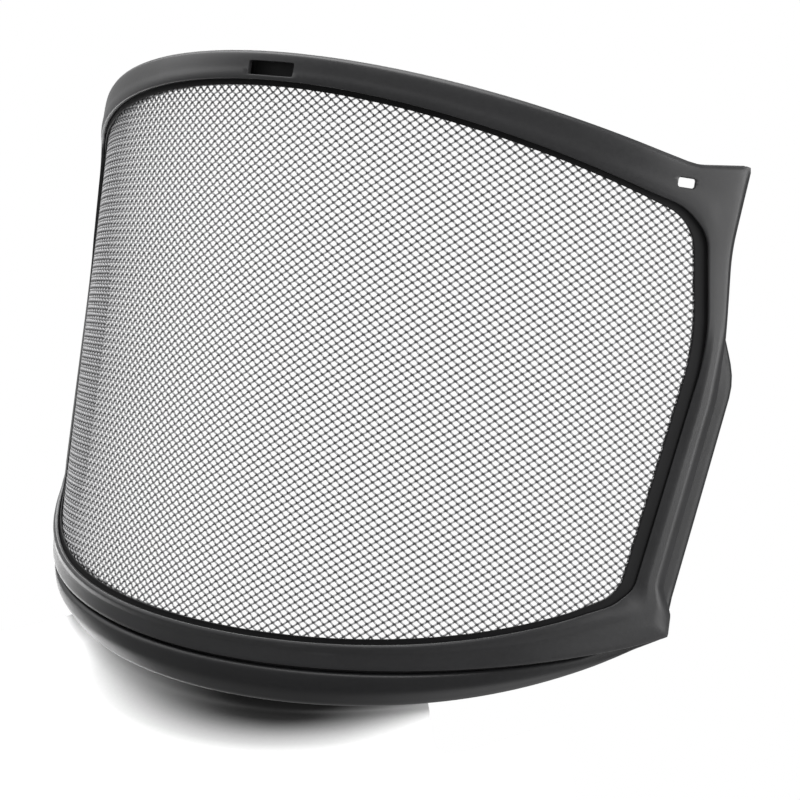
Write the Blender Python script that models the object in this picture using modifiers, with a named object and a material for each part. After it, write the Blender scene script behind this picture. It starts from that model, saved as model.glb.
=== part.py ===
"""Wire-mesh face shield for a safety helmet.

A convex screen of woven steel wire is clamped between a front bezel and a back
frame, both moulded in black plastic.  A thin edge strip lines the opening, and
sixteen headed pins pushed in from behind hold the two mouldings together.

The screen is a developable surface: a flat sheet bent about straight rulings
that run down the face and draw slightly together towards the chin.  A point is
named by (s, t, n): s and t are its place on the flat sheet, across and up from
the middle, and n is its distance out of the surface, away from the face.
Dimensions are in millimetres and become metres when a vertex is placed.

Frame: +X to the right as seen from the front, +Y from the screen towards the
wearer, +Z up.  The origin is on the flat seat behind the middle of the brow,
where the helmet's carrier bears.
"""
import math

import bmesh
import bpy
import numpy as np
from mathutils import Matrix, Vector

MM = 0.001
MERGE_DIST = 0.00001     # metres
SIDES = (1.0, -1.0)      # right, left

# ---- bend of the screen ---------------------------------------------------------
CURV_MID = 0.00663       # curvature at the middle, 1/mm (radius about 150 mm)
CURV_RISE = 0.00210      # how much the curvature grows by CURV_SPAN
CURV_RISE4 = 0.00013     # fourth-power term
CURV_SPAN = 112.0        # arc length the two terms above refer to
TEMPLE_FROM = 104.0      # past here the sides straighten out towards the temples
TEMPLE_SPAN = 14.0       # length over which they do
TEMPLE_EASE = 0.6        # share of the curvature that is lost
APEX = 1612.0            # the rulings would meet this far below the middle
BEND_REACH = 170.0       # arc length tabulated to each side of the middle
BEND_STEP = 0.25

# Outline corners below are (s, t, corner radius), listed from brow to chin.
# A DROP or RISE is the coefficient of s^2, a RISE4 that of s^4.

# ---- opening of the screen (edge strip's inner edge) ----------------------------
OPEN_TOP = 99.9          # height of the opening's upper edge at the middle
OPEN_TOP_DROP = 0.00136
OPEN_BOT = -48.9
OPEN_BOT_RISE = 0.00130
OPEN_BOT_RISE4 = 3.4e-8
OPEN_UP_CORNER = (125.2, 78.6, 15.0)
OPEN_KNEE = (130.4, 46.0, 60.0)
OPEN_LOW_CORNER = (120.2, -22.5, 10.0)

# ---- outer edge of the front bezel ----------------------------------------------
BROW = 109.5             # top of the bezel at the middle
BROW_DROP = 0.00108
CREASE = -57.2           # lower edge of the bezel, where the chin lip appears
CREASE_RISE = 0.00133
EAR_ROOT = (124.0, 93.2, 16.0)
EAR_TIP = (138.7, 95.0, 1.2)
TEMPLE = (136.6, 71.9, 60.0)
BEZEL_KNEE = (138.6, 49.1, 12.0)
SHOULDER = (138.9, 32.2, 30.0)
CURL = (132.1, -19.1, 6.0)
CURL_END = (135.3, -26.4, 3.0)
JAW_TIP = (135.4, -32.4, 0.8)

# ---- outer edge of the back frame where it shows past the bezel -----------------
CHIN = -67.0             # lower edge of the chin lip at the middle
CHIN_RISE = 0.0014
CHIN_RISE4 = 3.0e-8
FLANK_TOP = (138.2, 50.6, 4.0)
FLANK_MAX = (143.6, 37.8, 18.0)
FLANK_LOW = (135.6, -21.8, 3.0)
FLANK_END = (134.8, -28.3, 2.0)
FLANK_BACK = 1.2         # how far the flank falls back over its width
FLANK_FULL_WIDTH = 5.0   # a narrower flank falls back in proportion
LIP_OUT = 2.4            # how far the chin lip swells forward before it rolls back
LIP_FULL_WIDTH = 7.5     # a narrower lip swells in proportion
LIP_FADE = (1.2, 4.2)    # the lip grows from none to full over these shown widths
LIP_CLEAR = 1.1          # the lip's wall, at mid-thickness, starts this far off the bezel
FLANK_INSET = 1.1        # the flank's slope starts this far under the bezel
BROW_INSET = 3.0         # and the plain edge row along the brow this far
HIDDEN_INSET = 0.35      # brow and ear edge of the frame, inside the bezel's edge
BACK_IN_OFFSET = 0.7     # the frame's inner edge lies this far outside the opening

# ---- thicknesses, in the n direction, and overlaps ------------------------------
GAP = 0.3                # running gap between neighbouring pieces
SHEET_T = 0.6            # woven wire cloth, over its crossings
STRIP_T = 0.5
BEZEL_T = 1.2
BACK_T = 1.3
BEZEL_EDGE_CLEAR = 0.1   # extra clearance under the bezel's outer edge
LEDGE_SIDE = 3.5         # visible width of the edge strip at the sides
LEDGE_TOP = 1.5          # and along the brow and chin
STRIP_TUCK = 1.0         # how far the strip runs under the bezel
SHEET_TUCK = 0.6         # how far the wire cloth stops short of the strip's edge
SHEET_END_TRIM = 0.12    # cut off the cloth's left and right extremes
EDGE_BEVEL = 0.25

# Mid-thickness surface of each piece
STRIP_N = SHEET_T / 2 + GAP + STRIP_T / 2
BEZEL_N = SHEET_T / 2 + GAP + STRIP_T + GAP + BEZEL_T / 2
BACK_N = -(SHEET_T / 2 + GAP + BACK_T / 2)
BEZEL_EDGE_N = BACK_N + BACK_T / 2 + GAP + BEZEL_T / 2 + BEZEL_EDGE_CLEAR

# ---- cross-sections -------------------------------------------------------------
# (fraction from inner to outer edge, height over BEZEL_N); None is BEZEL_EDGE_N
BEZEL_SECTION = ((0.0, 0.0), (0.10, 0.25), (0.24, 0.22), (0.42, 0.0),
                 (0.70, -0.10), (0.86, -0.45), (1.0, None))
RIM_SIDE_CUT = 0.6       # share of the positive heights lost at the sides
# (fraction from BACK_MID to BACK_OUT, height as a share of the lip's swell)
LIP_SECTION = ((0.0, 0.0), (0.06, 0.70), (0.28, 1.0),
               (0.55, 0.72), (0.80, 0.0), (1.0, -0.90))
BACK_INNER_ROWS = 2      # rows of the back frame inside BACK_MID

# ---- slots and seats for the carrier: (s, t, length, height) --------------------
BROW_SLOT = (0.0, 104.6, 16.8, 3.9)
EAR_SLOT = (121.5, 88.1, 4.6, 2.6)
BROW_SLOT_RADIUS = 0.6
EAR_SLOT_RADIUS = 0.7
BROW_SEAT = (0.0, 104.5, 27.0, 7.0)
EAR_SEAT = (121.5, 88.2, 17.0, 7.2)
SEAT_N = -4.4            # n of the flat seat faces
SEAT_BITE = 0.2          # how far the seats reach forward of BACK_N

# ---- pins -----------------------------------------------------------------------
PIN_D = 2.2
PIN_HEAD_D = 5.4
PIN_HEAD_T = 1.0
PIN_HEAD_CHAMFER = 0.5
PIN_HOLE_D = 2.8
PIN_BITE = 0.45          # how far the shank enters the bezel
PIN_TIP_N = BEZEL_N - BEZEL_T / 2 + PIN_BITE
PINS_BROW = (24.0, 58.0, 92.0)      # s of the pins along the brow
PINS_CHIN = (16.0, 50.0, 84.0)      # and along the chin
PIN_BELOW_BROW = 4.7
PIN_ABOVE_CREASE = 4.1
PIN_EAR = (132.9, 71.0)
PIN_JAW = (127.3, -27.4)

# ---- reach of the cutting solids: (lowest n, highest n) -------------------------
BROW_SLOT_CUT = (-0.2, 6.0)
EAR_SLOT_BEZEL_CUT = (-0.6, 6.0)
EAR_SLOT_BACK_CUT = (-8.0, 1.0)
PIN_BEZEL_CUT = (-1.5, PIN_TIP_N + GAP)
PIN_BACK_CUT = (-6.0, 1.0)

# ---- resolution -----------------------------------------------------------------
# Steps along the legs of a half outline.  On the bezel the legs end at the ear
# root, ear tip, temple, knee, curl, jaw tip, chin corner and middle of the chin.
LEG_STEPS = (11, 3, 4, 4, 6, 4, 3, 10)
STATIONS = sum(LEG_STEPS) + 1
LOOP_STEPS = 2 * (STATIONS - 1)
LEGS = [sum(LEG_STEPS[:i]) for i in range(len(LEG_STEPS))]      # first station of each
FLANK_FROM, FLANK_TO = LEGS[4], LEGS[6]
CURVE_SAMPLES = 24       # points along a brow or chin curve before resampling
CORNER_STEPS = 8
SHEET_COLUMNS = 57
SHEET_ROWS = 3
ROUND_SIDES = 12         # pins and their holes


def blend(a, b, fraction):
    return a * (1 - fraction) + b * fraction


def ramp(x, start, end):
    """Smooth step from 0 at start to 1 at end."""
    x = min(max((x - start) / (end - start), 0.0), 1.0)
    return x * x * (3 - 2 * x)


# ============================ the developable surface ============================
def curvature(s):
    z = s / CURV_SPAN
    return ((CURV_MID + CURV_RISE * z * z + CURV_RISE4 * z ** 4)
            * (1.0 - TEMPLE_EASE * ramp(s, TEMPLE_FROM, TEMPLE_FROM + TEMPLE_SPAN)))


def bend_table():
    """Arc lengths along t = 0 and the frame at each, found by turning the frame
    in small steps from the middle.  Frame columns: ruling, crossing and inward
    normal; its rows are the up, right and inward components."""
    frames = {0: np.eye(3)}
    for sign in (1, -1):
        frame = np.eye(3)
        for i in range(int(BEND_REACH / BEND_STEP)):
            bend = curvature((i + 0.5) * BEND_STEP)
            turn = Vector((bend, 0.0, 1.0 / APEX)) * (BEND_STEP * sign)
            frame = frame @ np.array(Matrix.Rotation(turn.length, 3, turn.normalized()))
            frames[sign * (i + 1)] = frame
    keys = sorted(frames)
    return np.array([key * BEND_STEP for key in keys]), np.array([frames[key] for key in keys])


ARCS, FRAMES = bend_table()


def axes_at(s, t):
    """Ruling, crossing and inward unit vectors, distance to the apex and the
    angle of the ruling through (s, t) on the flat sheet."""
    apex_dist = math.hypot(s, APEX + t)
    angle = math.atan2(s, APEX + t)
    place_in_table = (angle * APEX - ARCS[0]) / (ARCS[1] - ARCS[0])
    i = min(max(int(place_in_table), 0), len(ARCS) - 2)
    frame = blend(FRAMES[i], FRAMES[i + 1], place_in_table - i)
    axes = []
    for column in range(3):
        up, right, inward = frame[:, column] / np.linalg.norm(frame[:, column])
        axes.append(Vector((right, inward, up)))
    return (*axes, apex_dist, angle)


def sheet_point(s, t, n):
    """Position in millimetres, the screen's middle at (0, 0, 0)."""
    ruling, _, inward, apex_dist, _ = axes_at(s, t)
    return ruling * apex_dist - Vector((0.0, 0.0, APEX)) - inward * n


ORIGIN = sheet_point(BROW_SEAT[0], BROW_SEAT[1], SEAT_N)


def place(s, t, n):
    """World position, in metres, of the surface point (s, t, n)."""
    return (sheet_point(s, t, n) - ORIGIN) * MM


def local_frame(s, t, n):
    """Matrix whose X runs along s, Y along t and Z out of the surface."""
    ruling, crossing, inward, _, angle = axes_at(s, t)
    across = (ruling * math.sin(angle) + crossing * math.cos(angle)).normalized()
    outward = -inward
    matrix = Matrix((across, outward.cross(across), outward)).transposed().to_4x4()
    matrix.translation = place(s, t, n)
    return matrix


# ============================== outlines in (s, t) ===============================
def even_curve(middle, square, fourth=0.0):
    return lambda s: middle + square * s * s + fourth * s ** 4


open_top = even_curve(OPEN_TOP, -OPEN_TOP_DROP)
open_bot = even_curve(OPEN_BOT, OPEN_BOT_RISE, OPEN_BOT_RISE4)
brow = even_curve(BROW, -BROW_DROP)
crease = even_curve(CREASE, CREASE_RISE)
chin = even_curve(CHIN, CHIN_RISE, CHIN_RISE4)


def rounded(points):
    """Polyline in which each (s, t, radius) vertex becomes a parabolic arc."""
    path = []
    for i, point in enumerate(points):
        corner = np.array(point[:2], float)
        if len(point) == 2:
            path.append(corner)
            continue
        before = np.array(points[i - 1][:2], float) - corner
        after = np.array(points[i + 1][:2], float) - corner
        len_before, len_after = np.linalg.norm(before), np.linalg.norm(after)
        before, after = before / len_before, after / len_after
        half_angle = 0.5 * math.acos(max(-1.0, min(1.0, float(before @ after))))
        # neighbouring corners may each take just under half of the side they share
        cut = min(point[2] / math.tan(half_angle), 0.48 * len_before, 0.48 * len_after)
        start, end = corner + before * cut, corner + after * cut
        for step in range(CORNER_STEPS + 1):
            u = step / CORNER_STEPS
            path.append((1 - u) ** 2 * start + 2 * u * (1 - u) * corner + u * u * end)
    return np.array(path)


def resample(path, marks):
    """Stations along a path: marks are the points that separate its legs."""
    lengths = np.linalg.norm(np.diff(path, axis=0), axis=1)
    travelled = np.concatenate([[0.0], np.cumsum(lengths)])
    cuts = [0.0]
    for mark in marks:
        dist = np.linalg.norm(path - np.array(mark[:2]), axis=1)
        cuts.append(travelled[int(np.argmin(dist))])
    cuts.append(travelled[-1])
    stations = []
    for start, end, steps in zip(cuts[:-1], cuts[1:], LEG_STEPS):
        stations += [start + (end - start) * k / steps for k in range(steps)]
    stations.append(travelled[-1])
    return np.stack([np.interp(stations, travelled, path[:, axis]) for axis in (0, 1)], 1)


def half_outline(top, top_end, corners, bottom, bottom_end, marks):
    """Right half: the top curve out to s = top_end, the corners, then the bottom
    curve from s = bottom_end back to the middle."""
    path = [(s, top(s)) for s in np.linspace(0.0, top_end, CURVE_SAMPLES)]
    path += corners
    path += [(s, bottom(s)) for s in np.linspace(bottom_end, 0.0, CURVE_SAMPLES)]
    return resample(rounded(path), marks)


def grow(half, width):
    """Offset a right-hand half outline outwards by width(k) at station k."""
    last = len(half) - 1
    grown = []
    for k in range(len(half)):
        if k in (0, last):
            along = np.array([1.0 if k == 0 else -1.0, 0.0])
        else:
            along = half[k + 1] - half[k - 1]
        along = along / np.linalg.norm(along)
        grown.append(half[k] + np.array([-along[1], along[0]]) * width(k))
    return np.array(grown)


def side_weight(k):
    """1 on the sides of the frame, 0 along the brow and the chin."""
    return min(ramp(k, LEGS[1] - 0.5, LEGS[3] - 0.5), ramp(-k, -LEGS[7] - 0.5, -LEGS[5] - 0.5))


def ledge(k):
    return LEDGE_TOP + (LEDGE_SIDE - LEDGE_TOP) * side_weight(k)


OPENING = half_outline(
    open_top, 109.0, [OPEN_UP_CORNER, OPEN_KNEE, OPEN_LOW_CORNER], open_bot, 108.0,
    marks=((110.0, open_top(110.0)), OPEN_UP_CORNER, (126.6, 66.0), OPEN_KNEE,
           (121.6, -11.0), OPEN_LOW_CORNER, (109.5, open_bot(109.5))))
BEZEL_OUT = half_outline(
    brow, 114.0,
    [EAR_ROOT, EAR_TIP, TEMPLE, BEZEL_KNEE, SHOULDER, CURL, CURL_END, JAW_TIP],
    crease, 125.0,
    marks=(EAR_ROOT, EAR_TIP, TEMPLE, BEZEL_KNEE, CURL, JAW_TIP, (121.0, crease(121.0))))
BEZEL_IN = grow(OPENING, ledge)
STRIP_OUT = grow(OPENING, lambda k: ledge(k) + STRIP_TUCK)
SHEET_OUT = grow(OPENING, lambda k: ledge(k) + STRIP_TUCK - SHEET_TUCK)
BACK_IN = grow(OPENING, lambda k: BACK_IN_OFFSET)


def back_outer():
    """Outer edge of the back frame: hidden under the bezel along the brow and
    ear, standing out past it along the flank and the chin."""
    hidden = grow(BEZEL_OUT, lambda k: -HIDDEN_INSET)
    shown = half_outline(
        brow, 114.0,
        [EAR_ROOT, EAR_TIP, TEMPLE, FLANK_TOP, FLANK_MAX, FLANK_LOW, FLANK_END, JAW_TIP],
        chin, 127.0,
        marks=(EAR_ROOT, EAR_TIP, TEMPLE, FLANK_TOP, FLANK_LOW, JAW_TIP, (122.0, chin(122.0))))
    return np.concatenate([hidden[:FLANK_FROM], shown[FLANK_FROM:]])


BACK_OUT = back_outer()


def lip_weight(k):
    """1 where the chin lip is full, 0 off the chin and at its pointed ends."""
    shown_width = float(np.linalg.norm(BACK_OUT[k] - BEZEL_OUT[k]))
    return ramp(k, FLANK_TO, FLANK_TO + 1.0) * ramp(shown_width, *LIP_FADE)


def flank_weight(k):
    return (ramp(k, FLANK_FROM - 1.0, FLANK_FROM + 1.5)
            * (1 - ramp(k, FLANK_TO - 1.0, FLANK_TO + 1.0)))


def mid_offset(k):
    """Under the bezel's edge everywhere but the chin, where it clears that edge."""
    inset = blend(BROW_INSET, FLANK_INSET, ramp(k, FLANK_FROM - 1.5, FLANK_FROM + 0.5))
    return blend(-inset, LIP_CLEAR, lip_weight(k))


BACK_MID = grow(BEZEL_OUT, mid_offset)


# =============================== mesh construction ===============================
part = bpy.data.collections.new("mesh_face_shield")
cutters = bpy.data.collections.new("cutters")


def start():
    for ob in list(bpy.data.objects):
        bpy.data.objects.remove(ob, do_unlink=True)
    for collection in (part, cutters):
        bpy.context.scene.collection.children.link(collection)


def material(name, colour, roughness, metallic=0.0):
    mat = bpy.data.materials.new(name)
    mat.use_nodes = True
    inputs = mat.node_tree.nodes.get("Principled BSDF").inputs
    inputs["Base Color"].default_value = (*colour, 1.0)
    inputs["Roughness"].default_value = roughness
    inputs["Metallic"].default_value = metallic
    return mat


def new_object(name, bm, collection):
    mesh = bpy.data.meshes.new(name)
    bm.to_mesh(mesh)
    bm.free()
    ob = bpy.data.objects.new(name, mesh)
    collection.objects.link(ob)
    return ob


def new_piece(name, bm, mat):
    ob = new_object(name, bm, part)
    ob.data.materials.append(mat)
    ob.data.shade_smooth()
    ob.data.set_sharp_from_angle(angle=math.radians(35))
    return ob


def new_cutter(name, bm):
    ob = new_object(name, bm, cutters)
    ob.hide_render = True
    ob.display_type = 'WIRE'
    return ob


def mapped_grid(columns, rows, position):
    """A grid whose vertex (i, j) is moved to position(i, j)."""
    bm = bmesh.new()
    bmesh.ops.create_grid(bm, x_segments=columns - 1, y_segments=rows - 1, size=1.0)
    for vert in bm.verts:
        i = int(round((vert.co.x + 1.0) / 2.0 * (columns - 1)))
        j = int(round((vert.co.y + 1.0) / 2.0 * (rows - 1)))
        vert.co = position(i, j)
    return bm


def solidify(ob, thickness):
    mod = ob.modifiers.new("thickness", 'SOLIDIFY')
    mod.thickness = thickness * MM
    mod.offset = 0.0


def bevel_edges(ob):
    mod = ob.modifiers.new("edges", 'BEVEL')
    mod.width = EDGE_BEVEL * MM
    mod.segments = 1
    mod.limit_method = 'ANGLE'
    mod.angle_limit = math.radians(50)


def boolean(ob, tool, operation):
    mod = ob.modifiers.new(operation.lower(), 'BOOLEAN')
    mod.operation = operation
    mod.solver = 'EXACT'
    mod.object = tool


def ring(name, row_point, rows, thickness, mat):
    """A closed band: row_point(k, j) gives the (s, t) point and the n of row j at
    station k of the right half, which is mirrored to the left."""
    def position(i, j):
        i %= LOOP_STEPS
        k, side = (i, 1.0) if i < STATIONS else (LOOP_STEPS - i, -1.0)
        (s, t), n = row_point(k, j)
        return place(side * s, t, n)

    bm = mapped_grid(LOOP_STEPS + 1, rows, position)
    bmesh.ops.remove_doubles(bm, verts=bm.verts[:], dist=MERGE_DIST)
    ob = new_piece(name, bm, mat)
    solidify(ob, thickness)
    return ob


# ---- solids for cutting and joining ---------------------------------------------
def cylinder_into(bm, s, t, n_range, diameter):
    low, high = n_range
    bmesh.ops.create_cone(bm, cap_ends=True, segments=ROUND_SIDES, radius1=diameter * MM / 2,
                          radius2=diameter * MM / 2, depth=(high - low) * MM,
                          matrix=local_frame(s, t, 0.5 * (low + high)))


def box_into(bm, side, box, n_range):
    """A box (s, t, length, height), mirrored to the left if side is -1."""
    s, t, length, height = box
    low, high = n_range
    size = Matrix.Diagonal((length * MM, height * MM, (high - low) * MM, 1.0))
    middle = local_frame(side * s, t, 0.5 * (low + high))
    bmesh.ops.create_cube(bm, size=1.0, matrix=middle @ size)


def slot_into(bm, side, slot, n_range, radius):
    """A box whose four edges along n are rounded."""
    old_edges = set(bm.edges)
    box_into(bm, side, slot, n_range)
    outward = local_frame(side * slot[0], slot[1], 0.0).to_3x3().col[2]
    along = []
    for edge in bm.edges:
        start_vert, end_vert = edge.verts
        direction = (end_vert.co - start_vert.co).normalized()
        if edge not in old_edges and abs(direction.dot(outward)) > 0.9:
            along.append(edge)
    bmesh.ops.bevel(bm, geom=along, offset=radius * MM, segments=3, profile=0.5, affect='EDGES')


def pin_places():
    spots = [(s, brow(s) - PIN_BELOW_BROW) for s in PINS_BROW]
    spots.append(PIN_EAR)
    spots += [(s, crease(s) + PIN_ABOVE_CREASE) for s in PINS_CHIN]
    spots.append(PIN_JAW)
    return [(side * s, t) for s, t in spots for side in SIDES]


def seat_blocks():
    bm = bmesh.new()
    n_range = (SEAT_N, BACK_N + SEAT_BITE)
    box_into(bm, 1.0, BROW_SEAT, n_range)
    for side in SIDES:
        box_into(bm, side, EAR_SEAT, n_range)
    return new_cutter("seat_blocks", bm)


def bezel_cuts():
    bm = bmesh.new()
    slot_into(bm, 1.0, BROW_SLOT, BROW_SLOT_CUT, BROW_SLOT_RADIUS)
    for side in SIDES:
        slot_into(bm, side, EAR_SLOT, EAR_SLOT_BEZEL_CUT, EAR_SLOT_RADIUS)
    for s, t in pin_places():
        cylinder_into(bm, s, t, PIN_BEZEL_CUT, PIN_HOLE_D)
    return new_cutter("bezel_cuts", bm)


def back_cuts():
    bm = bmesh.new()
    for side in SIDES:
        slot_into(bm, side, EAR_SLOT, EAR_SLOT_BACK_CUT, EAR_SLOT_RADIUS)
    for s, t in pin_places():
        cylinder_into(bm, s, t, PIN_BACK_CUT, PIN_HOLE_D)
    return new_cutter("back_cuts", bm)


# ==================================== pieces =====================================
def front_bezel(mat):
    def row_point(k, j):
        fraction, height = BEZEL_SECTION[j]
        point = blend(BEZEL_IN[k], BEZEL_OUT[k], fraction)
        if height is None:
            return point, BEZEL_EDGE_N
        if height > 0:
            height *= 1 - RIM_SIDE_CUT * side_weight(k)
        return point, BEZEL_N + height

    ob = ring("front_bezel", row_point, len(BEZEL_SECTION), BEZEL_T, mat)
    bevel_edges(ob)
    boolean(ob, bezel_cuts(), 'DIFFERENCE')


def back_frame(mat):
    def row_point(k, j):
        if j < BACK_INNER_ROWS:
            return blend(BACK_IN[k], BACK_MID[k], j / BACK_INNER_ROWS), BACK_N
        fraction, height = LIP_SECTION[j - BACK_INNER_ROWS]
        width = float(np.linalg.norm(BACK_OUT[k] - BACK_MID[k]))
        swell = lip_weight(k) * LIP_OUT * min(width / LIP_FULL_WIDTH, 1.0)
        fall = flank_weight(k) * FLANK_BACK * min(width / FLANK_FULL_WIDTH, 1.0)
        point = blend(BACK_MID[k], BACK_OUT[k], fraction)
        return point, BACK_N + swell * height - fall * fraction

    ob = ring("back_frame", row_point, BACK_INNER_ROWS + len(LIP_SECTION), BACK_T, mat)
    bevel_edges(ob)
    boolean(ob, seat_blocks(), 'UNION')
    boolean(ob, back_cuts(), 'DIFFERENCE')


def edge_strip(mat):
    def row_point(k, j):
        return (OPENING, STRIP_OUT)[j][k], STRIP_N

    ring("edge_strip", row_point, 2, STRIP_T, mat)


def sheet_span(s):
    """Lowest and highest t of the wire cloth at s on its right half."""
    crossings = [a[1] + (b[1] - a[1]) * (s - a[0]) / (b[0] - a[0])
                 for a, b in zip(SHEET_OUT[:-1], SHEET_OUT[1:])
                 if (a[0] - s) * (b[0] - s) <= 0.0 and abs(a[0] - b[0]) > 1e-9]
    return min(crossings), max(crossings)


def wire_screen(mat):
    """The wire cloth as one thin sheet, its columns closer towards the sides."""
    s_max = float(SHEET_OUT[:, 0].max()) - SHEET_END_TRIM
    column_s = [s_max * math.sin(0.5 * math.pi * u) for u in np.linspace(-1.0, 1.0, SHEET_COLUMNS)]

    def position(i, j):
        low, high = sheet_span(abs(column_s[i]))
        return place(column_s[i], low + (high - low) * j / (SHEET_ROWS - 1), 0.0)

    ob = new_piece("wire_screen", mapped_grid(SHEET_COLUMNS, SHEET_ROWS, position), mat)
    solidify(ob, SHEET_T)


def clamp_pin(name, s, t, mat):
    """Head behind the back frame, shank through it into the bezel."""
    head_front = BACK_N - BACK_T / 2 - GAP
    head_back = head_front - PIN_HEAD_T
    head_r = PIN_HEAD_D / 2
    profile = ((0.0, head_back), (head_r - PIN_HEAD_CHAMFER, head_back),
               (head_r, head_back + PIN_HEAD_CHAMFER), (head_r, head_front),
               (PIN_D / 2, head_front), (PIN_D / 2, PIN_TIP_N), (0.0, PIN_TIP_N))
    bm = bmesh.new()
    verts = [bm.verts.new((radius * MM, 0.0, n * MM)) for radius, n in profile]
    edges = [bm.edges.new(pair) for pair in zip(verts[:-1], verts[1:])]
    bmesh.ops.spin(bm, geom=verts + edges, cent=(0, 0, 0), axis=(0, 0, 1),
                   angle=2 * math.pi, steps=ROUND_SIDES, use_duplicate=False)
    bmesh.ops.remove_doubles(bm, verts=bm.verts[:], dist=MERGE_DIST)
    bmesh.ops.recalc_face_normals(bm, faces=bm.faces[:])
    bmesh.ops.transform(bm, matrix=local_frame(s, t, 0.0), verts=bm.verts[:])
    new_piece(name, bm, mat)


def main():
    start()
    frame_black = material("frame_black", colour=(0.022, 0.022, 0.024), roughness=0.42)
    strip_black = material("strip_black", colour=(0.012, 0.012, 0.013), roughness=0.6)
    wire_dark = material("wire_dark", colour=(0.05, 0.05, 0.052), roughness=0.4, metallic=0.8)

    front_bezel(frame_black)
    back_frame(frame_black)
    edge_strip(strip_black)
    wire_screen(wire_dark)
    for i, (s, t) in enumerate(pin_places(), start=1):
        clamp_pin(f"clamp_pin_{i:02d}", s, t, frame_black)


main()
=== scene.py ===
"""A woven-wire face screen: crimped wire cloth held round its edge between a front bezel and
a back frame, joined by clamp pins, with a dark strip round the opening.

The object faces -Y, its brow is up (+Z), and +X is the side of positive s.  The ears and
the flanks sweep back towards +Y.  The surface is a flat sheet bent about straight rulings
that meet at an apex far below it.  A place on it is (s, t, n) in millimetres: across the
flat sheet, up it, and out of its front face.
"""
import math

import bmesh
import bpy
import numpy as np
from mathutils import Matrix, Vector


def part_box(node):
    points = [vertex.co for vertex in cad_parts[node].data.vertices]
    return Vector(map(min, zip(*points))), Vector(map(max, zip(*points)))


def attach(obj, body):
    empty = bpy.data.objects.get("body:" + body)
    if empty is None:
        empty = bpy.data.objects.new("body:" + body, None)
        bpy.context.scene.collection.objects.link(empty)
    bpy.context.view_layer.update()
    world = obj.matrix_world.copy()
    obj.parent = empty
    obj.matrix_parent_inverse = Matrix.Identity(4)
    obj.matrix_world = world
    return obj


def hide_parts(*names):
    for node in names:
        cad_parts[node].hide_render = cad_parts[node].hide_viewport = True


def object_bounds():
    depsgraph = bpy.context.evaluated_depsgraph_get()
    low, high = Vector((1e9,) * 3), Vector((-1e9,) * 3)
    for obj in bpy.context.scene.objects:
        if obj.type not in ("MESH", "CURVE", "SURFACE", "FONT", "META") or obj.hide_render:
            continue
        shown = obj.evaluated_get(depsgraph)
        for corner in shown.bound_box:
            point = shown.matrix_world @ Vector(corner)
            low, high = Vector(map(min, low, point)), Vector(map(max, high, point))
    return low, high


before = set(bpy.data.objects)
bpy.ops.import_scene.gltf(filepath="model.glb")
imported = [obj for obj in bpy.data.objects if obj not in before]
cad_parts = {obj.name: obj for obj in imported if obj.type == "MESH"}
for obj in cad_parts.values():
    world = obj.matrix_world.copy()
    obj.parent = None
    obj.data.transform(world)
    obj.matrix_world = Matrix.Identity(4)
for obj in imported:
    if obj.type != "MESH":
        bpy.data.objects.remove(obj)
CAD_LO, CAD_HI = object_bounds()
MIDDLE = (CAD_LO + CAD_HI) / 2
MM = 0.001
SIDES = (1.0, -1.0)

# =====================================================================================
# Dimensions, in millimetres
# =====================================================================================
# curvature across the sheet: mid + rise z^2 + rise4 z^4, with z = s / span
CURV_MID, CURV_RISE, CURV_RISE4, CURV_SPAN = 0.00663, 0.00210, 0.00013, 112.0
# the bend eases off by this share, from this s and over this distance
TEMPLE_EASE, TEMPLE_FROM, TEMPLE_SPAN = 0.6, 104.0, 14.0
APEX = 1612.0                                # from the rulings' apex up to t = 0
BEND_REACH, BEND_STEP = 170.0, 0.25

# long edges: t = a + b s^2 + c s^4
OPEN_TOP = (99.9, -0.00136, 0.0)
OPEN_BOTTOM = (-48.9, 0.00130, 3.4e-8)
BROW = (109.5, -0.00108, 0.0)
CREASE = (-57.2, 0.00133, 0.0)               # the bezel's lower edge
CHIN = (-67.0, 0.0014, 3.0e-8)               # the back frame's lower edge

# corners of the outlines: s, t, rounding radius
OPEN_UP_CORNER = (125.2, 78.6, 15.0)
OPEN_KNEE = (130.4, 46.0, 60.0)
OPEN_LOW_CORNER = (120.2, -22.5, 10.0)
EAR_ROOT = (124.0, 93.2, 16.0)
EAR_TIP = (138.7, 95.0, 1.2)
TEMPLE = (136.6, 71.9, 60.0)
BEZEL_KNEE = (138.6, 49.1, 12.0)
SHOULDER = (138.9, 32.2, 30.0)
CURL = (132.1, -19.1, 6.0)
CURL_END = (135.3, -26.4, 3.0)
JAW_TIP = (135.4, -32.4, 0.8)
FLANK_TOP = (138.2, 50.6, 4.0)
FLANK_MAX = (143.6, 37.8, 18.0)
FLANK_LOW = (135.6, -21.8, 3.0)
FLANK_END = (134.8, -28.3, 2.0)

FLANK_BACK = 1.2                             # how far the flank's edge falls back
LIP_OUT, LIP_CLEAR = 2.4, 1.1                # the chin lip's rise, and its gap to the bezel
FLANK_INSET, BROW_INSET = 1.1, 3.0           # the shell's fold line inside the bezel's edge
LEDGE_SIDE, LEDGE_TOP = 3.5, 1.5             # strip showing between opening and bezel
STRIP_TUCK, SHEET_TUCK = 1.0, 0.6

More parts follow.
